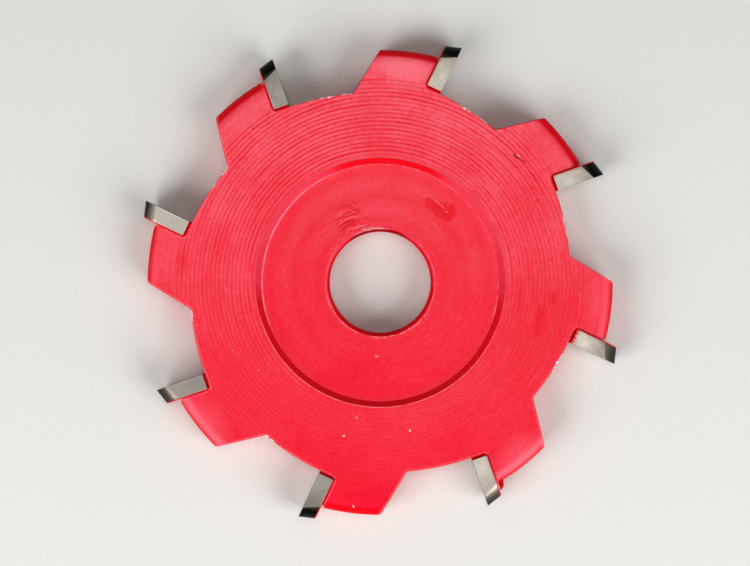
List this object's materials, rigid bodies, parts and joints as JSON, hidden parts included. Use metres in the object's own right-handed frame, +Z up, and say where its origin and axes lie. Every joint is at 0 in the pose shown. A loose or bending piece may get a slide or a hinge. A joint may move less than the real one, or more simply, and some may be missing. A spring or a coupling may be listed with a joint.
{
  "type": "panel grooving cutter",
  "caption": "Disc cutter for milling round-bottomed grooves in panels, a painted steel body with brazed carbide tips, a central bore and a flange recess.",
  "frame": {"origin": "under the bore's centre, on the plane that the tips' lower corners rest on", "axes": "+Z up along the bore axis, out of the recessed face; +Y towards the upper edge of the pictured view; seen from +Z the cutter turns clockwise"},
  "size_m": [0.119, 0.119, 0.01],
  "materials": {
    "painted_body": "satin red paint over turned steel, chipped to bare metal at the gullet edges",
    "carbide": "ground tungsten carbide"
  },
  "bodies": {
    "root": {"body": "painted_body", "tip_1": "carbide", "tip_2": "carbide", "tip_3": "carbide", "tip_4": "carbide", "tip_5": "carbide", "tip_6": "carbide", "tip_7": "carbide", "tip_8": "carbide"}
  },
  "joints": []
}
